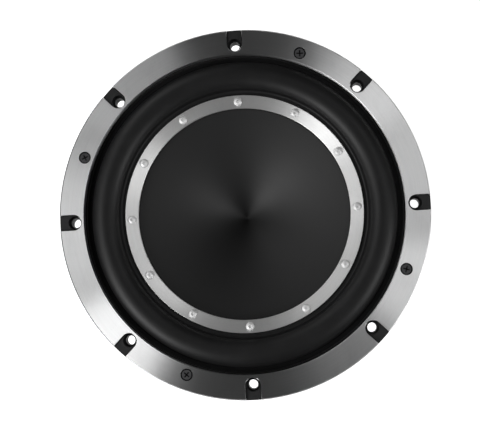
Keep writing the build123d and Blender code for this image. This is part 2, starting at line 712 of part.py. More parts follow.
basket()
trim_ring()
trim_ring_screws()
mounting_gasket()
surround()
cone()
cone_ring()
cone_ring_screws()
clamp_backing_ring()
tube("voice_coil_former", FORMER_R, FORMER_OUTER_R, FORMER_BOTTOM_Z, cone_front_z(FORMER_R) - CONE_T)
tube("voice_coil_winding", FORMER_OUTER_R, FORMER_OUTER_R + WINDING_T, *WINDING_Z)
tube("former_collar", FORMER_OUTER_R, COLLAR_R, *COLLAR_Z)
spider("lower_spider", SPIDER_LEDGE_Z, 1)
tube(
    "spider_spacer",
    SPIDER_LEDGE_INNER_R,
    SPIDER_OUTER_R,
    SPIDER_LEDGE_Z + SPIDER_T,
    SPIDER_LEDGE_Z + SPIDER_T + SPACER_T,
)
spider("upper_spider", SPIDER_LEDGE_Z + SPIDER_T + SPACER_T, -1)
magnet("magnet_lower", BACK_PLATE_TOP_Z)
magnet("magnet_upper", MAGNET_MIDDLE_Z)
back_plate()
tube("shorting_ring", POLE_NECK_R + 0.05, POLE_R - 0.2, BACK_PLATE_TOP_Z + 3, POLE_NECK_TOP_Z)
top_plate()
basket_bolts()
vent_screen()
magnet_boot()
terminal_block()
terminal_contacts()
terminal_screws()
push_button("push_button_red", -BUTTON_X)
push_button("push_button_black", BUTTON_X)
button_spring("button_spring_red", -BUTTON_X)
button_spring("button_spring_black", BUTTON_X)
tinsel_lead("tinsel_lead_red", -BUTTON_X)
tinsel_lead("tinsel_lead_black", BUTTON_X)
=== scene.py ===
"""Looks of the car subwoofer: materials, soft parts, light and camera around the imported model."""
import math

import bpy
import numpy as np
from mathutils import Matrix, Vector


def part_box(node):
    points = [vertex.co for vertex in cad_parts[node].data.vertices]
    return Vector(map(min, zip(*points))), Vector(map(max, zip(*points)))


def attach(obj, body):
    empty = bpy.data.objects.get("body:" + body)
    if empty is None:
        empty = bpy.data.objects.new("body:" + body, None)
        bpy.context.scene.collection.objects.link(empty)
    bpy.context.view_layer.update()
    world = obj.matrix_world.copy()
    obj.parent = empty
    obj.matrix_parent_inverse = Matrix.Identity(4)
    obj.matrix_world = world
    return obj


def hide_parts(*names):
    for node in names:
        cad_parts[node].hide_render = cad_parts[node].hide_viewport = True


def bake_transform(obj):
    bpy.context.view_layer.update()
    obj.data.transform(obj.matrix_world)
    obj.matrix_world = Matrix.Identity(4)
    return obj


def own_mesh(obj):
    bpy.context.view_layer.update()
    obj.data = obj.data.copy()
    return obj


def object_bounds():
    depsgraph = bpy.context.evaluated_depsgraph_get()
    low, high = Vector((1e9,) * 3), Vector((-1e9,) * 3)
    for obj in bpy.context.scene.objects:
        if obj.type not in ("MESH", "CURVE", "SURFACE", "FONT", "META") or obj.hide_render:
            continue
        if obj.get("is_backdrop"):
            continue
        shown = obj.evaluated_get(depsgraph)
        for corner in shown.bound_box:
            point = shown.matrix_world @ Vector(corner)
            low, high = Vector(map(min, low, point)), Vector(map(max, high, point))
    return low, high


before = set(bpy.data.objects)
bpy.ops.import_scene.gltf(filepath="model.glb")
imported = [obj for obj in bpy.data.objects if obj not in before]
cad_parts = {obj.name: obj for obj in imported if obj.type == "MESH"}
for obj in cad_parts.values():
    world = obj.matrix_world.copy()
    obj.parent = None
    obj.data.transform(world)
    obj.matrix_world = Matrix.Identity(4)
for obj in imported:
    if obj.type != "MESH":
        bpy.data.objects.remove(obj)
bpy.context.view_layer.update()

MM = 0.001

# Places that the frame gives
trim_low, trim_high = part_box("trim_ring")
surround_low, surround_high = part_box("surround")
TRIM_TOP_Z = trim_high.z
SHELF_Z = surround_low.z
LIP_TOP_Z = trim_low.z
CONE_RIM_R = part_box("cone")[1].x
CONE_RING_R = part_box("cone_ring")[1].x
SCREW_TOP_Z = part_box("trim_ring_screws")[1].z

# Driving sizes of the pieces made here, metres
TRIM_INNER_R = 137.1 * MM
ROLL_CENTRE_R = 118.7 * MM
ROLL_R = 11.1 * MM
SURROUND_T = 1.8 * MM
SURROUND_INNER_R = 92.6 * MM
FOOT_R = 1.6 * MM
INNER_FOOT_R = 2.6 * MM
LIP_START = 0.4 * MM
LIP_END = 0.7 * MM
LIP_LIFT = 0.5 * MM
BEAD_INSET = 1.3 * MM
BEAD_R = 0.75 * MM
CONE_EDGE_R = 90.5 * MM
CONE_T = 2.4 * MM
CONE_SLOPES = (0.95, 0.387, 0.36)
CONE_TIP = 1.2 * MM
COLLAR_R = 39.0 * MM
SPIDER_INNER_R = 39.4 * MM
SPIDER_FLAT_R = 76.0 * MM
SPIDER_T = 0.8 * MM
SPIDER_WAVE = 2.3 * MM
SPIDER_WAVES = 5
BUTTON_X = 8.0 * MM
BUTTON_Y = -105.0 * MM
SPRING_BOTTOM_Z = 78.4 * MM
SPRING_H = 7.8 * MM
SPRING_R = 3.3 * MM
SPRING_WIRE_R = 0.35 * MM
SPRING_TURNS = 5
LEAD_R = 1.1 * MM
STRAND_R = 0.27 * MM
STRANDS = 12
BRAID_PITCH = 7.5 * MM

# Route of a lead, millimetres: heights at the solder tab, places (Y, Z) between, heights at the collar
TAB_Y = -97.0 * MM
TAB_HEIGHTS = (98.5, 108.0)
LEAD_ROUTE = ((-86.0, 116.0), (-74.0, 121.0), (-61.0, 121.5), (-50.0, 117.5))
COLLAR_HEIGHTS = (113.0, 108.0)

# Lumps of solder: Y, height and half sizes
TAB_SOLDER = (-96.3 * MM, 99.6 * MM, (1.7 * MM, 1.5 * MM, 2.3 * MM))
COIL_SOLDER = (-39.6 * MM, 108.8 * MM, (1.6 * MM, 1.3 * MM, 2.2 * MM))

# Sections of the adhesive beads, millimetres: radius, and height over the cone's neck or a spider's middle
NECK_BEAD = ((38.5, -4.4), (39.2, -4.2), (40.4, -2.6), (42.4, -0.3), (44.2, 1.6), (38.5, -1.0))
SPIDER_BEAD = ((39.1, 0.3), (42.2, 0.4), (41.0, 1.5), (39.8, 2.4), (39.1, 2.6))

# Where a material changes: radii of the trim ring's face and of the surround's groove, which gets painted
# shade; X over which the painted dark reflection on the face's edges fades out; margins of the face's slots;
# and depths below which the face and the screws are painted black as shade
TRIM_FACE = (137.45 * MM, 157.05 * MM)
GROOVE = (129.6 * MM, 134.6 * MM)
PAINTED_REFLECTION_SIDE = (-0.13, -0.06)
FACE_MARGINS = (1.0 * MM, 0.5 * MM)
SLOT_SHADE_DEPTH = 0.3 * MM
SCREW_SHADE_DEPTH = 0.35 * MM

# The camera: the speaker is turned by PART_TURN about its axis and seen TILT off that axis
PART_TURN = math.radians(3.4)
TILT = math.radians(5.8)
TILT_TOWARDS = math.radians(-51.0) - PART_TURN
CAMERA_DISTANCE = 0.95
VIEW_WIDTH = 0.4072
SENSOR = 36.0
CENTRE_RIGHT = 3.0 * MM
CENTRE_UP = 6.7 * MM

# Light
LIGHT_DISTANCE = 1.3
SOFTBOX_SIZE = 0.6
KEY_POWER = 10.0
FLOOR_GLOW = 0.74
WORLD_LIGHT = 0.03


# ---------------------------------------------------------------- mesh helpers

def make_object(name, verts, faces, sharp):
    """A smooth-shaded mesh object; edges over the angle sharp, in degrees, stay hard."""
    mesh = bpy.data.meshes.new(name)
    mesh.from_pydata([tuple(v) for v in verts], [], faces)
    mesh.update()
    mesh.polygons.foreach_set("use_smooth", [True] * len(mesh.polygons))
    mesh.set_sharp_from_angle(angle=math.radians(sharp))
    obj = bpy.data.objects.new(name, mesh)
    bpy.context.scene.collection.objects.link(obj)
    return obj


def revolve(name, profile, segments, sharp, closed=True):
    """A mesh of revolution about Z from (radius, height) points; a point on the axis is a pole."""
    rings = []
    verts = []
    for radius, height in profile:
        if radius < 1e-7:
            rings.append([len(verts)] * segments)
            verts.append((0.0, 0.0, height))
        else:
            rings.append(list(range(len(verts), len(verts) + segments)))
            for step in range(segments):
                turn = 2 * math.pi * step / segments
                verts.append((radius * math.cos(turn), radius * math.sin(turn), height))
    faces = []
    pairs = list(zip(rings, rings[1:]))
    if closed:
        pairs.append((rings[-1], rings[0]))
    for low, high in pairs:
        if low[0] == low[1] and high[0] == high[1]:
            continue
        for step in range(segments):
            after = (step + 1) % segments
            corners = [low[step], low[after], high[after], high[step]]
            corners = [c for i, c in enumerate(corners) if c not in corners[:i]]
            faces.append(corners)
    return make_object(name, verts, faces, sharp)


def arc(centre_r, centre_z, radius, start, end, steps):
    """Points of an arc in the (radius, height) plane, angles in degrees."""
    points = []
    for step in range(steps + 1):
        turn = math.radians(start + (end - start) * step / steps)
        points.append((centre_r + radius * math.cos(turn), centre_z + radius * math.sin(turn)))
    return points


def tube_along(points, radius, sides):
    """Vertices and faces of a capped tube that follows points, with its section kept from twisting."""
    points = [Vector(p) for p in points]
    verts = []
    faces = []
    normal = None
    for index, point in enumerate(points):
        before = points[max(0, index - 1)]
        after = points[min(len(points) - 1, index + 1)]
        along = (after - before).normalized()
        if normal is None:
            normal = along.orthogonal().normalized()
        normal = (normal - along * normal.dot(along)).normalized()
        side = along.cross(normal)
        for step in range(sides):
            turn = 2 * math.pi * step / sides
            verts.append(point + normal * (radius * math.cos(turn)) + side * (radius * math.sin(turn)))
    for index in range(len(points) - 1):
        for step in range(sides):
            after = (step + 1) % sides
            low = index * sides
            high = low + sides
            faces.append([low + step, low + after, high + after, high + step])
    faces.append(list(reversed(range(sides))))
    faces.append(list(range((len(points) - 1) * sides, len(points) * sides)))
    return verts, faces


def merge(parts):
    """One list of vertices and faces from several."""
    verts = []
    faces = []
    for more_verts, more_faces in parts:
        base = len(verts)
        verts += list(more_verts)
        faces += [[base + i for i in face] for face in more_faces]
    return verts, faces


def blend_round(piece):
    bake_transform(piece)


# ------------------------------------------------------------ material helpers

class Look:
    """A Principled material being built, with short calls for the nodes that it needs."""

    FADE = 0.1 * MM

    def __init__(self, name, colour, metallic, roughness, **sockets):
        self.material = bpy.data.materials.new(name)
        self.material.use_nodes = True
        self.tree = self.material.node_tree
        self.shader = self.tree.nodes["Principled BSDF"]
        self.shader.inputs["Base Color"].default_value = (*colour, 1)
        self.shader.inputs["Metallic"].default_value = metallic
        self.shader.inputs["Roughness"].default_value = roughness
        for socket, value in sockets.items():
            self.shader.inputs[socket.replace("_", " ")].default_value = value
        self.place = self.node("ShaderNodeTexCoord").outputs["Object"]
        self.last_bump = None

    def node(self, kind, **settings):
        """A new node with its settings."""
        made = self.tree.nodes.new(kind)
        for key, value in settings.items():
            setattr(made, key, value)
        return made

    def feed(self, socket, value):
        """Links a node's output to a socket, or sets a plain value on it."""
        if isinstance(value, bpy.types.NodeSocket):
            self.tree.links.new(value, socket)
        else:
            socket.default_value = value

    def math(self, operation, first, second):
        """A sum, product or other operation on two values."""
        made = self.node("ShaderNodeMath", operation=operation)
        self.feed(made.inputs[0], first)
        self.feed(made.inputs[1], second)
        return made.outputs[0]

    def stretched(self, x, y, z):
        """The place, scaled along each axis."""
        made = self.node("ShaderNodeVectorMath", operation="MULTIPLY")
        self.feed(made.inputs[0], self.place)
        made.inputs[1].default_value = (x, y, z)
        return made.outputs[0]

    def radius(self):
        """Distance from the Z axis."""
        made = self.node("ShaderNodeVectorMath", operation="LENGTH")
        self.feed(made.inputs[0], self.stretched(1, 1, 0))
        return made.outputs["Value"]

    def along(self, axis):
        """The place along one axis: 0, 1 or 2."""
        made = self.node("ShaderNodeSeparateXYZ")
        self.feed(made.inputs[0], self.place)
        return made.outputs[axis]

    def around(self, radial, turning, height=0.0):
        """A vector whose X grows with radius and height and whose Y and Z go round: marks in circles."""
        flat = self.node("ShaderNodeVectorMath", operation="NORMALIZE")
        self.feed(flat.inputs[0], self.stretched(1, 1, 0))
        parts = self.node("ShaderNodeSeparateXYZ")
        self.feed(parts.inputs[0], flat.outputs[0])
        joined = self.node("ShaderNodeCombineXYZ")
        across = self.math("MULTIPLY", self.radius(), radial)
        up = self.math("MULTIPLY", self.along(2), height)
        self.feed(joined.inputs[0], self.math("ADD", across, up))
        self.feed(joined.inputs[1], self.math("MULTIPLY", parts.outputs[0], turning))
        self.feed(joined.inputs[2], self.math("MULTIPLY", parts.outputs[1], turning))
        return joined.outputs[0]

    def noise(self, scale, vector=None, detail=3.0, roughness=0.5):
        """Soft noise over the place or over another vector."""
        made = self.node("ShaderNodeTexNoise")
        self.feed(made.inputs["Vector"], vector or self.place)
        made.inputs["Scale"].default_value = scale
        made.inputs["Detail"].default_value = detail
        made.inputs["Roughness"].default_value = roughness
        return made.outputs[0]

    def cells(self, scale):
        """Distance from scattered cell centres."""
        made = self.node("ShaderNodeTexVoronoi")
        self.feed(made.inputs["Vector"], self.place)
        made.inputs["Scale"].default_value = scale
        return made.outputs[0]

    def waves(self, scale, direction):
        """Even bands across one direction."""
        made = self.node("ShaderNodeTexWave", bands_direction=direction)
        self.feed(made.inputs["Vector"], self.place)
        made.inputs["Scale"].default_value = scale
        return made.outputs[1]

    def remap(self, value, low, high, from_low=0.3, from_high=0.7):
        """The value carried from one range to another; the default range suits noise."""
        made = self.node("ShaderNodeMapRange")
        self.feed(made.inputs["Value"], value)
        made.inputs["From Min"].default_value = from_low
        made.inputs["From Max"].default_value = from_high
        made.inputs["To Min"].default_value = low
        made.inputs["To Max"].default_value = high
        return made.outputs[0]

    def mix(self, factor, first, second):
        """Colour between two colours, or between an earlier mix and a colour."""
        made = self.node("ShaderNodeMix", data_type="RGBA")
        self.feed(made.inputs[0], factor)
        for socket, value in ((made.inputs[6], first), (made.inputs[7], second)):
            self.feed(socket, value if isinstance(value, bpy.types.NodeSocket) else (*value, 1))
        return made.outputs[2]

    def colour(self, value):
        self.feed(self.shader.inputs["Base Color"], value)

    def rough(self, value):
        self.feed(self.shader.inputs["Roughness"], value)

    def below(self, level):
        """1 under a height, 0 above it."""
        return self.remap(self.along(2), 1.0, 0.0, level - self.FADE, level)

    def inside(self, radius):
        """1 inside a radius, 0 outside it."""
        return self.remap(self.radius(), 1.0, 0.0, radius - self.FADE, radius)

    def outside(self, radius):
        """0 inside a radius, 1 outside it."""
        return self.remap(self.radius(), 0.0, 1.0, radius, radius + self.FADE)

    def bump(self, height, depth):
        """Adds relief: depth in metres is the height of a full step of the pattern."""
        made = self.node("ShaderNodeBump")
        made.inputs["Strength"].default_value = 1.0
        made.inputs["Distance"].default_value = depth
        self.feed(made.inputs["Height"], height)
        if self.last_bump is not None:
            self.feed(made.inputs["Normal"], self.last_bump)
        self.last_bump = made.outputs[0]
        self.feed(self.shader.inputs["Normal"], self.last_bump)


# ------------------------------------------------------------------- materials

def machined_aluminium(name, pale, grey, roughness, stretch, metallic=1.0, coning=0.0, face=None):
    """Turned aluminium with smears and scratches.

    coning tilts the shading inwards. face gives the radii of a flat face, whose edges carry a painted dark
    reflection on the -X side and whose slots and sunk holes carry painted shade in black.
    """
    look = Look(name, pale, metallic, roughness, Anisotropic=stretch, Anisotropic_Rotation=0.25)
    tangent = look.node("ShaderNodeTangent", direction_type="RADIAL", axis="Z")
    look.feed(look.shader.inputs["Tangent"], tangent.outputs[0])
    fine = look.noise(1.0, look.around(5200.0, 5.0, 5200.0), detail=4.0, roughness=0.65)
    broad = look.noise(1.0, look.around(900.0, 2.5, 900.0), detail=2.0)
    cloud = look.noise(38.0, detail=4.0, roughness=0.6)
    smear = look.noise(1.0, look.stretched(60.0, 25.0, 40.0), detail=5.0, roughness=0.7)
    speck = look.noise(900.0, detail=2.0)
    tone = look.mix(look.remap(fine, 0.0, 1.0, 0.25, 0.75), pale, grey)
    tone = look.mix(look.remap(broad, 0.0, 0.25), tone, [g * 0.88 for g in grey])
    tone = look.mix(look.remap(speck, 0.0, 0.16, 0.64, 0.8), tone, (0.45, 0.44, 0.43))
    tone = look.mix(look.remap(smear, 0.0, 0.22, 0.5, 0.72), tone, (0.66, 0.66, 0.66))
    if face:
        # Painted dark reflection: the face's inner and outer edges go dark grey on the -X side only.
        edge = look.math("ADD", look.outside(face[1]), look.inside(face[0]))
        side = look.remap(look.along(0), 1.0, 0.0, *PAINTED_REFLECTION_SIDE)
        tone = look.mix(look.math("MULTIPLY", edge, side), tone, (0.10, 0.10, 0.11))
        near, far = FACE_MARGINS
        # Painted shade: inside the slots and sunk holes, below the face's top, the colour goes nearly black.
        ring = look.math("MULTIPLY", look.outside(face[0] + near), look.inside(face[1] - far))
        painted_shade = look.math("MULTIPLY", ring, look.below(TRIM_TOP_Z - SLOT_SHADE_DEPTH))
        tone = look.mix(painted_shade, tone, (0.01, 0.01, 0.01))
    look.colour(tone)
    if coning:
        look.bump(look.radius(), coning)
    shine = look.remap(cloud, roughness - 0.02, roughness + 0.02)
    look.rough(look.math("ADD", shine, look.remap(fine, -0.02, 0.02)))
    look.bump(fine, 0.000008)
    return look.material


def black_rubber(name, colour, roughness, shine, grain, groove=None):
    """Moulded rubber: fine grain, a dusty cast in patches, and painted shade in a groove between two radii.
    """
    look = Look(name, colour, 0.0, roughness, Specular_IOR_Level=shine)
    dust = look.noise(55.0, detail=5.0, roughness=0.65)
    streak = look.noise(1.0, look.around(420.0, 5.0, 420.0), detail=3.0)
    tone = look.mix(look.remap(dust, 0.0, 0.5, 0.5, 0.78), colour, [c * 1.9 + 0.001 for c in colour])
    tone = look.mix(look.remap(streak, 0.0, 0.35), tone, [c * 0.6 for c in colour])
    look.colour(tone)
    dull = look.remap(dust, roughness - 0.02, roughness + 0.03)
    look.rough(look.math("ADD", dull, look.remap(streak, -0.01, 0.01)))
    # Painted shade: between the groove's radii the specular level falls to a fifth, so the groove reads
    # black.
    if groove:
        edge = look.remap(look.radius(), 0.0, 1.0, groove[0], groove[0] + 1.5 * MM)
        far = look.remap(look.radius(), 1.0, 0.0, groove[1], groove[1] + 0.5 * MM)
        painted_shade = look.math("MULTIPLY", edge, far)
        look.feed(look.shader.inputs["Specular IOR Level"], look.remap(painted_shade, shine, shine * 0.2, 0.0, 1.0))
    look.bump(look.noise(grain, detail=3.0), 0.00003)
    look.bump(look.noise(90.0, detail=2.0), 0.00004)
    return look.material


def cone_material():
    """Pressed cone: satin black, with a fine pore and faint rings from its mould."""
    look = Look("cone_satin_black", (0.0056, 0.0056, 0.0058), 0.0, 0.55, Specular_IOR_Level=0.44)
    pores = look.noise(2600.0, detail=3.0, roughness=0.6)
    rings = look.noise(1.0, look.around(700.0, 3.0), detail=3.0)
    cloud = look.noise(26.0, detail=4.0)
    tone = look.mix(look.remap(cloud, 0.0, 0.6), (0.0050, 0.0050, 0.0052), (0.0066, 0.0066, 0.0069))
    tone = look.mix(look.remap(pores, 0.0, 0.4), tone, (0.0036, 0.0036, 0.0036))
    look.colour(tone)
    look.rough(look.math("ADD", look.remap(cloud, 0.54, 0.56), look.remap(rings, -0.01, 0.01)))
    look.bump(pores, 0.000012)
    look.bump(rings, 0.000006)
    return look.material


def painted_metal(name, colour, roughness, metallic=0.0, grain=1400.0, shine=0.5, shade_under=None):
    """Powder coat or plating: orange peel, lighter where worn, and painted shade in black under a height."""
    look = Look(name, colour, metallic, roughness, Specular_IOR_Level=shine)
    peel = look.noise(grain, detail=2.0)
    worn = look.noise(70.0, detail=6.0, roughness=0.7)
    tone = look.mix(look.remap(worn, 0.0, 0.45, 0.5, 0.8), colour, [c * 2.0 + 0.01 for c in colour])
    # Painted shade: everything under the given height goes black, as in a screw's cross recess.
    if shade_under:
        tone = look.mix(look.below(shade_under), tone, (0.001, 0.001, 0.001))
    look.colour(tone)
    dull = look.remap(worn, roughness - 0.06, roughness + 0.08)
    look.rough(look.math("ADD", dull, look.remap(peel, -0.03, 0.03)))
    look.bump(peel, 0.00003)
    look.bump(worn, 0.00004)
    return look.material


def bright_metal(name, colour, roughness, metallic=1.0):
    """Plated or turned steel and brass: small scratches both ways and faint fingermarks."""
    look = Look(name, colour, metallic, roughness, Anisotropic=0.2)
    smear = look.noise(300.0, detail=4.0)
    scratch = look.noise(1.0, look.stretched(9000, 700, 9000), detail=3.0)
    other = look.noise(1.0, look.stretched(700, 9000, 9000), detail=3.0)
    look.colour(look.mix(look.remap(smear, 0.0, 0.4), colour, [c * 0.72 for c in colour]))
    dull = look.remap(smear, roughness - 0.04, roughness + 0.08)
    look.rough(look.math("ADD", dull, look.remap(scratch, -0.02, 0.03)))
    look.bump(look.math("ADD", scratch, other), 0.000008)
    return look.material


def moulded_plastic(name, colour, roughness, coat=0.0):
    """Moulded plastic with a fine spark-eroded texture."""
    look = Look(name, colour, 0.0, roughness, Coat_Weight=coat, Coat_Roughness=0.15)
    texture = look.noise(3000.0, detail=2.0)
    cloud = look.noise(120.0, detail=4.0)
    look.colour(look.mix(look.remap(cloud, 0.0, 0.4), colour, [c * 0.75 for c in colour]))
    look.rough(look.remap(cloud, roughness - 0.05, roughness + 0.07))
    look.bump(texture, 0.000025)
    return look.material


def foam_material():
    """Closed-cell foam: open cells on the cut face."""
    look = Look("gasket_foam", (0.02, 0.02, 0.02), 0.0, 0.9, Sheen_Weight=0.25)
    cells = look.cells(900.0)
    tone = look.noise(60.0, detail=4.0)
    look.colour(look.mix(look.remap(tone, 0.0, 0.7), (0.017, 0.017, 0.017), (0.035, 0.034, 0.033)))
    look.rough(look.remap(cells, 0.95, 0.78, 0.0, 0.8))
    look.bump(cells, 0.0002)
    return look.material


def ferrite_material():
    """Ground ferrite: dark grey, dull, with small chips."""
    look = Look("ferrite", (0.05, 0.05, 0.054), 0.35, 0.55)
    chips = look.cells(260.0)
    grind = look.noise(1.0, look.around(1600.0, 8.0, 1600.0), detail=3.0)
    look.colour(look.mix(look.remap(grind, 0.0, 0.6), (0.045, 0.045, 0.05), (0.085, 0.085, 0.09)))
    look.rough(look.remap(grind, 0.48, 0.66))
    look.bump(look.remap(chips, 0.0, 1.0, 0.0, 0.35), 0.00008)
    return look.material


def cloth_material():
    """Resin-dipped cotton: a plain weave turned with the disc, stiff and slightly shiny."""
    look = Look("spider_cloth", (0.42, 0.27, 0.09), 0.0, 0.68, Sheen_Weight=0.2)
    warp = look.waves(420.0, direction="X")
    weft = look.waves(420.0, direction="Y")
    weave = look.math("MULTIPLY", warp, weft)
    soak = look.noise(75.0, detail=4.0)
    tone = look.mix(look.remap(weave, 0.0, 1.0, 0.0, 0.7), (0.20, 0.12, 0.035), (0.48, 0.32, 0.11))
    look.colour(look.mix(look.remap(soak, 0.0, 0.5), tone, (0.27, 0.15, 0.04)))
    look.rough(look.remap(soak, 0.55, 0.8))
    look.bump(weave, 0.00025)
    return look.material


def braid_material():
    """Braided copper tinsel: bright strands with a darker tarnish."""
    look = Look("tinsel_braid", (0.75, 0.42, 0.24), 0.9, 0.38)
    tarnish = look.noise(700.0, detail=4.0)
    look.colour(look.mix(look.remap(tarnish, 0.0, 0.8), (0.80, 0.47, 0.28), (0.36, 0.18, 0.09)))
    look.rough(look.remap(tarnish, 0.3, 0.5))
    look.bump(look.waves(900.0, direction="DIAGONAL"), 0.00008)
    return look.material


def winding_material():
    """Enamelled copper wire, wound in close turns."""
    look = Look("winding_enamel", (0.60, 0.22, 0.07), 0.85, 0.28, Coat_Weight=0.5)
    turns = look.waves(330.0, direction="Z")
    tone = look.noise(200.0, detail=3.0)
    look.colour(look.mix(look.remap(tone, 0.0, 0.6), (0.66, 0.26, 0.09), (0.42, 0.14, 0.05)))
    look.rough(look.remap(tone, 0.22, 0.36))
    look.bump(turns, 0.0002)
    return look.material


def kraft_material():
    """Paper wrap, with fibres and a darker soak of adhesive."""
    look = Look("kraft_wrap", (0.30, 0.19, 0.10), 0.0, 0.75)
    fibre = look.noise(1.0, look.around(300.0, 60.0, 2600.0), detail=4.0)
    soak = look.noise(110.0, detail=4.0)
    look.colour(look.mix(look.remap(fibre, 0.0, 0.8), (0.33, 0.22, 0.12), (0.20, 0.12, 0.06)))
    look.rough(look.remap(soak, 0.6, 0.85))
    look.bump(fibre, 0.00006)
    return look.material


def glue_material():
    """Black adhesive, set glossy and uneven."""
    look = Look("set_adhesive", (0.012, 0.011, 0.010), 0.0, 0.22, Coat_Weight=0.3)
    lumps = look.noise(160.0, detail=3.0)
    look.colour(look.mix(look.remap(lumps, 0.0, 0.7), (0.011, 0.010, 0.009), (0.022, 0.020, 0.018)))
    look.rough(look.remap(lumps, 0.15, 0.38))
    look.bump(lumps, 0.0004)
    return look.material


def solder_material():
    """Solder: bright, with a duller grainy skin in places."""
    look = Look("solder", (0.72, 0.72, 0.70), 1.0, 0.25)
    skin = look.noise(900.0, detail=4.0)
    look.colour(look.mix(look.remap(skin, 0.0, 0.6), (0.74, 0.74, 0.72), (0.45, 0.45, 0.43)))
    look.rough(look.remap(skin, 0.18, 0.45))
    look.bump(skin, 0.00003)
    return look.material


# The trim ring's face carries a painted dark reflection on its edges and painted shade in its slots.
aluminium = machined_aluminium(
    "machined_aluminium", (0.96, 0.96, 0.96), (0.88, 0.885, 0.89), 0.42, 0.975, face=TRIM_FACE
)
ring_aluminium = machined_aluminium(
    "ring_aluminium", (0.99, 0.99, 0.985), (0.96, 0.96, 0.955), 0.5, 0.93, 0.82, coning=0.2
)
surround_rubber = black_rubber("surround_rubber", (0.0075, 0.0075, 0.0078), 0.47, 0.32, 1500.0, GROOVE)
boot_rubber = black_rubber("boot_rubber", (0.008, 0.008, 0.008), 0.6, 0.3, 900.0)
cone_black = cone_material()
# The trim ring's screws carry painted shade: black from just under their tops downwards.
screw_finish = painted_metal(
    "screw_finish", (0.05, 0.05, 0.052), 0.5, shine=0.25, shade_under=SCREW_TOP_Z - SCREW_SHADE_DEPTH
)
basket_paint = painted_metal("basket_paint", (0.015, 0.015, 0.0155), 0.52, shine=0.3)
black_oxide = painted_metal("black_oxide", (0.028, 0.028, 0.028), 0.34, 0.6, 2600.0)
motor_plating = painted_metal("motor_plating", (0.035, 0.035, 0.037), 0.33, 0.8, 1800.0)
bright_screw = bright_metal("bright_screw", (0.78, 0.78, 0.78), 0.2)
satin_screw = bright_metal("satin_screw", (0.95, 0.95, 0.95), 0.62, 0.75)
zinc = bright_metal("zinc_plate", (0.55, 0.56, 0.57), 0.34)
brass = bright_metal("tinned_brass", (0.72, 0.58, 0.32), 0.27)
spring_wire = bright_metal("spring_wire", (0.62, 0.62, 0.62), 0.22)
turned_sleeve = bright_metal("turned_sleeve", (0.75, 0.75, 0.76), 0.3)
former_skin = bright_metal("former_foil", (0.30, 0.29, 0.27), 0.36)
black_plastic = moulded_plastic("black_plastic", (0.018, 0.018, 0.018), 0.46)
red_plastic = moulded_plastic("red_plastic", (0.42, 0.008, 0.008), 0.28, 0.4)
shiny_black = moulded_plastic("shiny_black", (0.012, 0.012, 0.012), 0.26, 0.4)
cloth = cloth_material()
braid = braid_material()
glue = glue_material()
solder = solder_material()
ferrite = ferrite_material()

NODE_LOOKS = {
    "basket": basket_paint,
    "trim_ring": aluminium,
    "cone_ring": ring_aluminium,
    "trim_ring_screws": screw_finish,
    "basket_bolts": black_oxide,
    "mounting_gasket": foam_material(),
    "cone_ring_screws": satin_screw,
    "terminal_screws": bright_screw,
    "clamp_backing_ring": zinc,
    "voice_coil_former": former_skin,
    "voice_coil_winding": winding_material(),
    "former_collar": kraft_material(),
    "spider_spacer": black_plastic,
    "terminal_block": black_plastic,
    "top_plate": motor_plating,
    "back_plate": motor_plating,
    "vent_screen": black_oxide,
    "magnet_upper": ferrite,
    "magnet_lower": ferrite,
    "shorting_ring": turned_sleeve,
    "magnet_boot": boot_rubber,
    "terminal_contacts": brass,
    "push_button_red": red_plastic,
    "push_button_black": shiny_black,
}


def wear(obj, material):
    """Gives an object one material."""
    obj.data.materials.clear()
    obj.data.materials.append(material)


for node, look in NODE_LOOKS.items():
    wear(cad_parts[node], look)


# ---------------------------------------------------------------------- pieces

def surround_piece():
    """Half roll with rounded feet, a raised bead inside the trim ring and a step by the cone ring."""
    outer = ROLL_R + SURROUND_T / 2
    inner = ROLL_R - SURROUND_T / 2
    top_z = LIP_TOP_Z
    lip_z = top_z + LIP_LIFT
    roll_z = top_z + FOOT_R
    profile = [(SURROUND_INNER_R, SHELF_Z), (SURROUND_INNER_R, top_z)]
    profile += [(CONE_RING_R + LIP_START, top_z), (CONE_RING_R + LIP_END, lip_z)]
    profile += arc(ROLL_CENTRE_R - outer - INNER_FOOT_R, lip_z + INNER_FOOT_R, INNER_FOOT_R, 270, 355, 8)
    profile += arc(ROLL_CENTRE_R, roll_z, outer, 172, 0, 60)[1:-1]
    profile += arc(ROLL_CENTRE_R + outer + FOOT_R, roll_z, FOOT_R, 180, 270, 6)
    profile += arc(TRIM_INNER_R - BEAD_INSET, top_z, BEAD_R, 180, 0, 10)
    profile += [(surround_high.x, top_z), (surround_high.x, SHELF_Z)]
    profile += [(ROLL_CENTRE_R + inner, SHELF_Z)]
    profile += arc(ROLL_CENTRE_R, roll_z, inner, 0, 180, 48)
    profile += [(ROLL_CENTRE_R - inner, SHELF_Z)]
    crest = max(z for _, z in profile) - roll_z
    room = surround_high.z - roll_z
    profile = [(r, z if z <= roll_z else roll_z + (z - roll_z) * room / crest) for r, z in profile]
    piece = revolve("surround_roll", profile, segments=400, sharp=50)
    wear(piece, surround_rubber)
    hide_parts("surround")
    blend_round(piece)


def cone_height(radius):
    """Height of the cone's front at a radius: a cubic whose slope eases from the centre to the edge."""
    step = CONE_EDGE_R / 3
    apex_z = SHELF_Z - sum(CONE_SLOPES) * step
    share = radius / CONE_EDGE_R
    total = 0.0
    for count in range(4):
        weight = math.comb(3, count) * share**count * (1 - share) ** (3 - count)
        total += weight * (apex_z + sum(CONE_SLOPES[:count]) * step)
    return total


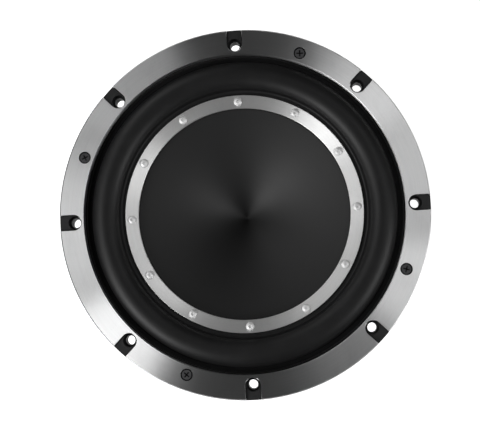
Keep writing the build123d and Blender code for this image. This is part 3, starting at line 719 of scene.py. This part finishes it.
def cone_piece():
    """The cone as one smooth shell with a flat rim and a slightly blunt centre."""
    steps = 90
    front = [(CONE_EDGE_R * k / steps, cone_height(CONE_EDGE_R * k / steps)) for k in range(steps + 1)]
    front = [(r, z + CONE_TIP * 0.5 * max(0.0, 1 - r / (2 * CONE_TIP)) ** 2) for r, z in front]
    back = [(r, z - CONE_T) for r, z in reversed(front)]
    rim = [(CONE_RIM_R, SHELF_Z), (CONE_RIM_R, SHELF_Z - CONE_T)]
    piece = revolve("cone_shell", front + rim + back, segments=400, sharp=40, closed=False)
    wear(piece, cone_black)
    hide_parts("cone")
    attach(piece, "cone_assembly")


def spider_piece(name, node, phase):
    """Corrugated cloth disc with rounded waves."""
    low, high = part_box(node)
    lip_z = (low.z + high.z) / 2 - SPIDER_T / 2
    span = SPIDER_FLAT_R - SPIDER_INNER_R
    steps = SPIDER_WAVES * 16
    wave = []
    for step in range(steps + 1):
        turn = 2 * math.pi * SPIDER_WAVES * step / steps
        wave.append((SPIDER_INNER_R + span * step / steps, lip_z + phase * SPIDER_WAVE * math.sin(turn)))
    wave.append((high.x, lip_z))
    profile = wave + [(r, z + SPIDER_T) for r, z in reversed(wave)]
    piece = revolve(name, profile, segments=240, sharp=50)
    wear(piece, cloth)
    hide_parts(node)
    blend_round(piece)


def adhesive_bead(name, profile):
    """A ring of set adhesive round the voice coil's collar."""
    piece = revolve(name, profile, segments=200, sharp=60)
    wear(piece, glue)
    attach(piece, "cone_assembly")


def route_points(name, route):
    """Points along a smooth curve through a route, read from a NURBS curve."""
    data = bpy.data.curves.new(name, "CURVE")
    data.dimensions = "3D"
    data.resolution_u = 12
    spline = data.splines.new("NURBS")
    spline.points.add(len(route) - 1)
    for point, place in zip(spline.points, route):
        point.co = (*place, 1.0)
    spline.order_u = 3
    spline.use_endpoint_u = True
    holder = bpy.data.objects.new(name, data)
    bpy.context.scene.collection.objects.link(holder)
    line = bpy.data.meshes.new_from_object(holder)
    points = [v.co.copy() for v in line.vertices]
    bpy.data.objects.remove(holder)
    return points


def spaced(points, gap):
    """The same line with its points an even gap apart."""
    runs = [0.0]
    for first, second in zip(points, points[1:]):
        runs.append(runs[-1] + (second - first).length)
    count = max(2, round(runs[-1] / gap))
    made = []
    index = 0
    for step in range(count + 1):
        want = runs[-1] * step / count
        while index < len(points) - 2 and runs[index + 1] < want:
            index += 1
        share = (want - runs[index]) / (runs[index + 1] - runs[index])
        made.append(points[index].lerp(points[index + 1], share))
    return made, runs[-1]


def lead_piece(name, node, x):
    """Tinsel lead: strands braided in both hands round a cotton core, from the solder tab to the collar."""
    end_y = -math.sqrt((COLLAR_R + 0.3 * MM) ** 2 - x**2) - LEAD_R
    tab_y = TAB_Y + LEAD_R
    route = [(x, tab_y, z * MM) for z in TAB_HEIGHTS]
    route += [(x, y * MM, z * MM) for y, z in LEAD_ROUTE]
    route += [(x, end_y, z * MM) for z in COLLAR_HEIGHTS]
    points, length = spaced(route_points(name + "_route", route), 0.45 * MM)
    turns = length / BRAID_PITCH
    side = Vector((1, 0, 0))
    parts = [tube_along(points, LEAD_R - 2.2 * STRAND_R, 12)]
    for strand in range(STRANDS):
        hand = 1 if strand % 2 else -1
        places = []
        for index, point in enumerate(points):
            ahead = points[min(len(points) - 1, index + 1)] - points[max(0, index - 1)]
            up = side.cross(ahead).normalized()
            share = index / (len(points) - 1)
            turn = 2 * math.pi * (strand / STRANDS + hand * turns * share)
            lift = LEAD_R - 1.45 * STRAND_R + hand * 0.45 * STRAND_R * math.cos(turn * STRANDS / 2)
            places.append(point + side * (lift * math.cos(turn)) + up * (lift * math.sin(turn)))
        parts.append(tube_along(places, STRAND_R, 5))
    piece = make_object(name, *merge(parts), sharp=80)
    wear(piece, braid)
    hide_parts(node)
    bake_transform(piece)


def solder_blob(name, body, centre, size, seed):
    """A rounded lump of solder, a little uneven; seed varies its swelling."""
    rings = 14
    around = 24
    verts = []
    for ring in range(rings + 1):
        fall = math.pi * ring / rings
        for step in range(around):
            turn = 2 * math.pi * step / around
            swell = 1 + 0.07 * math.sin(2 * turn + seed) * math.sin(fall)
            swell += 0.05 * math.sin(3 * turn - 2 * seed + fall)
            place = (math.cos(turn) * math.sin(fall), math.sin(turn) * math.sin(fall), math.cos(fall))
            verts.append([c + s * swell * p for c, s, p in zip(centre, size, place)])
    faces = []
    for ring in range(rings):
        for step in range(around):
            after = (step + 1) % around
            low = ring * around
            high = low + around
            faces.append([low + step, high + step, high + after, low + after])
    piece = make_object(name, verts, faces, sharp=80)
    wear(piece, solder)
    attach(piece, body)


def spring_piece(name, node, x):
    """Coil spring with its end turns closed up, under a button."""
    turns = SPRING_TURNS
    steps = turns * 40
    low = SPRING_BOTTOM_Z + SPRING_WIRE_R
    high = SPRING_BOTTOM_Z + SPRING_H - SPRING_WIRE_R
    closed = 2.1 * SPRING_WIRE_R
    places = []
    for step in range(steps + 1):
        share = turns * step / steps
        if share < 1:
            z = low + closed * share
        elif share > turns - 1:
            z = high - closed * (turns - share)
        else:
            z = low + closed + (high - low - 2 * closed) * (share - 1) / (turns - 2)
        turn = 2 * math.pi * share
        places.append((x + SPRING_R * math.cos(turn), BUTTON_Y + SPRING_R * math.sin(turn), z))
    piece = make_object(name, *tube_along(places, SPRING_WIRE_R, 10), sharp=60)
    wear(piece, spring_wire)
    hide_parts(node)
    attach(piece, "frame")
    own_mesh(piece)


surround_piece()
cone_piece()
spider_piece("upper_spider_cloth", "upper_spider", -1)
spider_piece("lower_spider_cloth", "lower_spider", 1)
for colour, x in (("red", -BUTTON_X), ("black", BUTTON_X)):
    lead_piece(f"tinsel_{colour}", f"tinsel_lead_{colour}", x)
    spring_piece(f"spring_{colour}", f"button_spring_{colour}", x)
    y, z, size = TAB_SOLDER
    solder_blob(f"tab_solder_{colour}", "frame", (x, y, z), size, 1.0 + x * 90)
    y, z, size = COIL_SOLDER
    solder_blob(f"coil_solder_{colour}", "cone_assembly", (x, y, z), size, 2.0 + x * 70)
neck_z = cone_height(COLLAR_R) - CONE_T
adhesive_bead("neck_adhesive", [(r * MM, neck_z + z * MM) for r, z in NECK_BEAD])
for node in ("upper_spider", "lower_spider"):
    low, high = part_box(node)
    middle = (low.z + high.z) / 2
    adhesive_bead(f"{node}_adhesive", [(r * MM, middle + z * MM) for r, z in SPIDER_BEAD])


# ----------------------------------------------------------- light and camera

def floor_and_world():
    """A pale floor that glows, as in a light tent, and a faint even light from all round."""
    bpy.ops.mesh.primitive_plane_add(size=12.0, location=(0, 0, -0.0005))
    floor = bpy.context.object
    floor.name = "studio_floor"
    look = Look("studio_floor", (0.86, 0.86, 0.86), 0.0, 0.9)
    look.shader.inputs["Emission Color"].default_value = (1, 1, 1, 1)
    look.shader.inputs["Emission Strength"].default_value = FLOOR_GLOW
    wear(floor, look.material)
    floor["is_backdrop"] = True
    world = bpy.data.worlds.new("studio")
    bpy.context.scene.world = world
    world.use_nodes = True
    background = world.node_tree.nodes["Background"]
    background.inputs[0].default_value = (1, 1, 1, 1)
    background.inputs[1].default_value = WORLD_LIGHT


def softbox(name, azimuth, off_axis, share):
    """A white square light aimed at the speaker's front; share is its power over the key light's.

    The angles are in degrees, azimuth as in the picture.
    """
    turn = math.radians(azimuth) - PART_TURN
    lean = math.radians(off_axis)
    target = Vector((0, 0, TRIM_TOP_Z))
    towards = Vector((math.sin(lean) * math.cos(turn), math.sin(lean) * math.sin(turn), math.cos(lean)))
    light = bpy.data.lights.new(name, "AREA")
    light.size = SOFTBOX_SIZE
    light.energy = KEY_POWER * share
    lamp = bpy.data.objects.new(name, light)
    lamp.location = target + towards * LIGHT_DISTANCE
    lamp.rotation_euler = towards.to_track_quat("Z", "Y").to_euler()
    bpy.context.scene.collection.objects.link(lamp)


def place_camera():
    """The camera, a little off the speaker's axis and turned with the picture."""
    right = Vector((math.cos(-PART_TURN), math.sin(-PART_TURN), 0))
    up = Vector((-right.y, right.x, 0))
    aside = math.sin(TILT)
    towards = Vector((aside * math.cos(TILT_TOWARDS), aside * math.sin(TILT_TOWARDS), math.cos(TILT)))
    aim = Vector((0, 0, TRIM_TOP_Z)) - right * CENTRE_RIGHT - up * CENTRE_UP
    data = bpy.data.cameras.new("camera")
    data.sensor_width = SENSOR
    data.lens = SENSOR * CAMERA_DISTANCE / VIEW_WIDTH
    camera = bpy.data.objects.new("camera", data)
    across = (right - towards * right.dot(towards)).normalized()
    upward = towards.cross(across)
    turn = Matrix((across, upward, towards)).transposed()
    camera.matrix_world = Matrix.Translation(aim + towards * CAMERA_DISTANCE) @ turn.to_4x4()
    bpy.context.scene.collection.objects.link(camera)
    bpy.context.scene.camera = camera


floor_and_world()
softbox("key_light", 220, 60, 1.0)
softbox("side_light", 340, 60, 0.6)
softbox("left_fill", 180, 45, 0.3)
softbox("top_fill", 130, 60, 0.25)
softbox("front_fill", 30, 30, 0.15)
place_camera()
bpy.context.scene.view_settings.view_transform = "Standard"

low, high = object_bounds()
